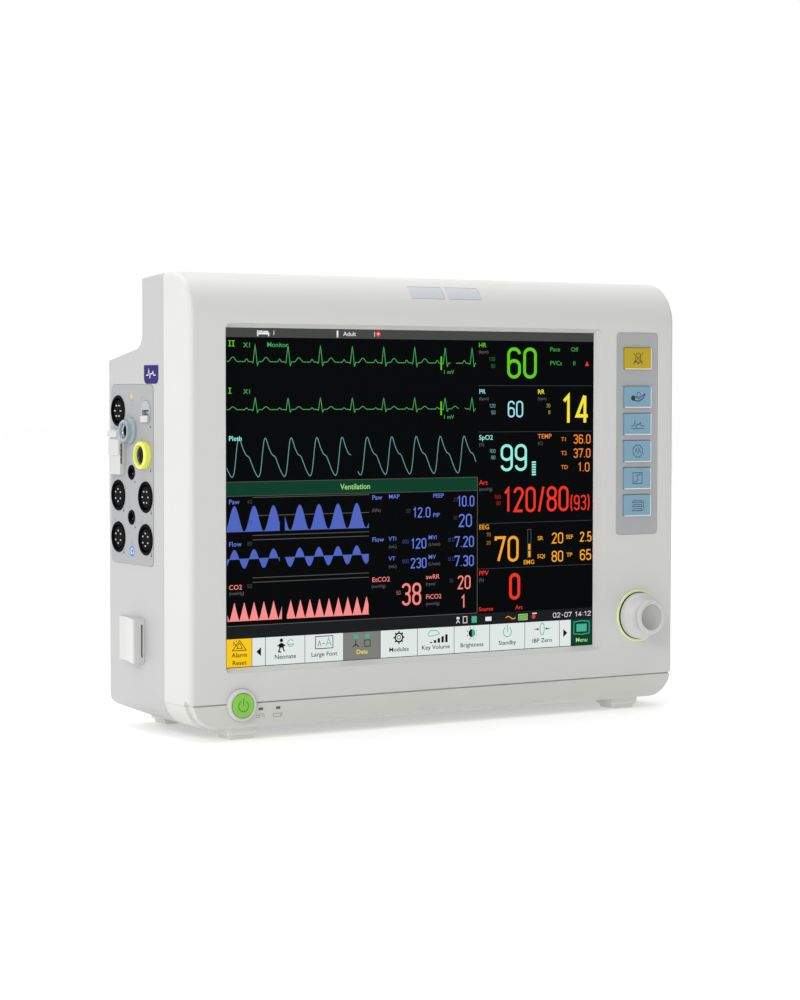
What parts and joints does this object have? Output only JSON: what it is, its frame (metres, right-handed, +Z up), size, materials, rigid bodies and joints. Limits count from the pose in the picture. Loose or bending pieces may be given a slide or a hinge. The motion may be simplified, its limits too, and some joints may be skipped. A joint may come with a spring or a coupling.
{
  "type": "patient monitor",
  "caption": "Bedside patient monitor: wide screen in a light moulded case, key column, push-and-turn knob, power button and a side panel of sensor sockets.",
  "frame": {"origin": "centre of the whole object's box on the table plane, under the case", "axes": "+X to the right of the screen as its user sees it, -Y the way the screen faces, +Z up"},
  "size_m": [0.4142, 0.1578, 0.3142],
  "materials": {
    "board": "solder mask",
    "case_front": "fine satin texture",
    "case_strip": "fine satin texture",
    "case_rear": "fine satin texture",
    "screen_glass": "hard coated, slightly matte",
    "lcd_metal": "folded sheet",
    "sheet_metal": "plated sheet",
    "alarm_lens": "translucent, unlit",
    "key_membrane": "film with fine grain",
    "key_yellow": "silicone, satin",
    "key_blue": "silicone, satin",
    "knob_white": "satin moulding",
    "steel": "turned",
    "ring_green": "light guide",
    "black_plastic": "moulded",
    "white_plastic": "moulded",
    "button_green": "satin moulding",
    "lamp_window": "unlit lamp window",
    "panel_grey": "satin moulding",
    "socket_black": "glass-filled moulding",
    "socket_grey": "moulded",
    "port_grey": "moulded",
    "port_yellow": "moulded",
    "foot_grey": "moulded elastomer",
    "bay_grey": "moulded",
    "pump_grey": "coated",
    "rubber_black": "ground roller",
    "paper": "thermal paper",
    "brass": "plated"
  },
  "bodies": {
    "case": {"front_bezel": "case_front", "lower_fascia": "case_strip", "rear_housing": "case_rear", "touch_glass": "screen_glass", "lcd_panel": "lcd_metal", "chassis_plate": "sheet_metal", "alarm_lens_left": "alarm_lens", "alarm_lens_right": "alarm_lens", "alarm_board": "board", "key_panel": "key_membrane", "keypad_board": "board", "knob_ring": "ring_green", "encoder_body": "black_plastic", "power_ring": "knob_white", "power_switch": "black_plastic", "status_lamps": "lamp_window", "module_panel": "panel_grey", "ecg_socket": "socket_black", "sensor_socket_1": "socket_black", "sensor_socket_2": "socket_black", "sensor_socket_3": "socket_black", "sensor_socket_4": "socket_black", "temperature_jack_1": "socket_black", "temperature_jack_2": "socket_black", "oximeter_socket": "socket_grey", "cuff_port": "port_grey", "gas_port": "port_yellow", "cell_bracket": "white_plastic", "cable_hook": "white_plastic", "front_feet": "foot_grey", "rear_feet": "foot_grey", "main_board": "board", "parameter_board": "board", "power_supply": "sheet_metal", "battery_pack": "black_plastic", "battery_bay": "bay_grey", "fan_frame": "black_plastic", "speaker": "black_plastic", "cuff_pump": "pump_grey", "recorder_frame": "bay_grey", "mains_inlet": "black_plastic", "earth_stud": "brass", "network_socket": "black_plastic", "usb_sockets": "sheet_metal", "housing_screws": "steel"},
    "knob": {"knob": "knob_white", "knob_shaft": "steel"},
    "encoder": {"encoder_plunger": "white_plastic"},
    "power_button": {"power_button": "button_green"},
    "fan": {"fan_rotor": "black_plastic"},
    "battery_door": {"battery_door": "case_rear"},
    "recorder_door": {"recorder_door": "case_rear"},
    "platen": {"platen_roller": "rubber_black"},
    "paper": {"paper_roll": "paper"},
    "key_1": {"key_1": "key_yellow"},
    "key_2": {"key_2": "key_blue"},
    "key_3": {"key_3": "key_blue"},
    "key_4": {"key_4": "key_blue"},
    "key_5": {"key_5": "key_blue"},
    "key_6": {"key_6": "key_blue"}
  },
  "joints": [
    {"name": "key_1_press", "type": "slide", "parent": "case", "child": "key_1", "axis": [0, 1, 0], "range_m": [0, 0.0008], "stiffness_N_per_m": 1500},
    {"name": "key_2_press", "type": "slide", "parent": "case", "child": "key_2", "axis": [0, 1, 0], "range_m": [0, 0.0008], "stiffness_N_per_m": 1500},
    {"name": "key_3_press", "type": "slide", "parent": "case", "child": "key_3", "axis": [0, 1, 0], "range_m": [0, 0.0008], "stiffness_N_per_m": 1500},
    {"name": "key_4_press", "type": "slide", "parent": "case", "child": "key_4", "axis": [0, 1, 0], "range_m": [0, 0.0008], "stiffness_N_per_m": 1500},
    {"name": "key_5_press", "type": "slide", "parent": "case", "child": "key_5", "axis": [0, 1, 0], "range_m": [0, 0.0008], "stiffness_N_per_m": 1500},
    {"name": "key_6_press", "type": "slide", "parent": "case", "child": "key_6", "axis": [0, 1, 0], "range_m": [0, 0.0008], "stiffness_N_per_m": 1500},
    {"name": "power_press", "type": "slide", "parent": "case", "child": "power_button", "axis": [0, 1, 0], "range_m": [0, 0.0012], "stiffness_N_per_m": 1500},
    {"name": "knob_press", "type": "slide", "parent": "case", "child": "encoder", "axis": [0, 1, 0], "range_m": [0, 0.001], "stiffness_N_per_m": 2500},
    {"name": "knob_turn", "type": "hinge", "parent": "encoder", "child": "knob", "pos_m": [0.17305, -0.0614, 0.069], "axis": [0, -1, 0], "continuous": true},
    {"name": "fan_spin", "type": "hinge", "parent": "case", "child": "fan", "pos_m": [-0.09125, 0.0526, 0.19], "axis": [0, 1, 0], "continuous": true},
    {"name": "recorder_door_hinge", "type": "hinge", "parent": "case", "child": "recorder_door", "pos_m": [0.2049, 0.0186, 0.134], "axis": [0, 1, 0], "range_deg": [0, 85]},
    {"name": "platen_turn", "type": "hinge", "parent": "recorder_door", "child": "platen", "pos_m": [0.19825, 0.0186, 0.1965], "axis": [0, 1, 0], "continuous": true},
    {"name": "paper_turn", "type": "hinge", "parent": "case", "child": "paper", "pos_m": [0.17475, 0.0186, 0.16], "axis": [0, 1, 0], "continuous": true},
    {"name": "battery_door_hinge", "type": "hinge", "parent": "case", "child": "battery_door", "pos_m": [0.2039, 0.0246, 0.0407], "axis": [0, 1, 0], "range_deg": [0, 85]}
  ]
}
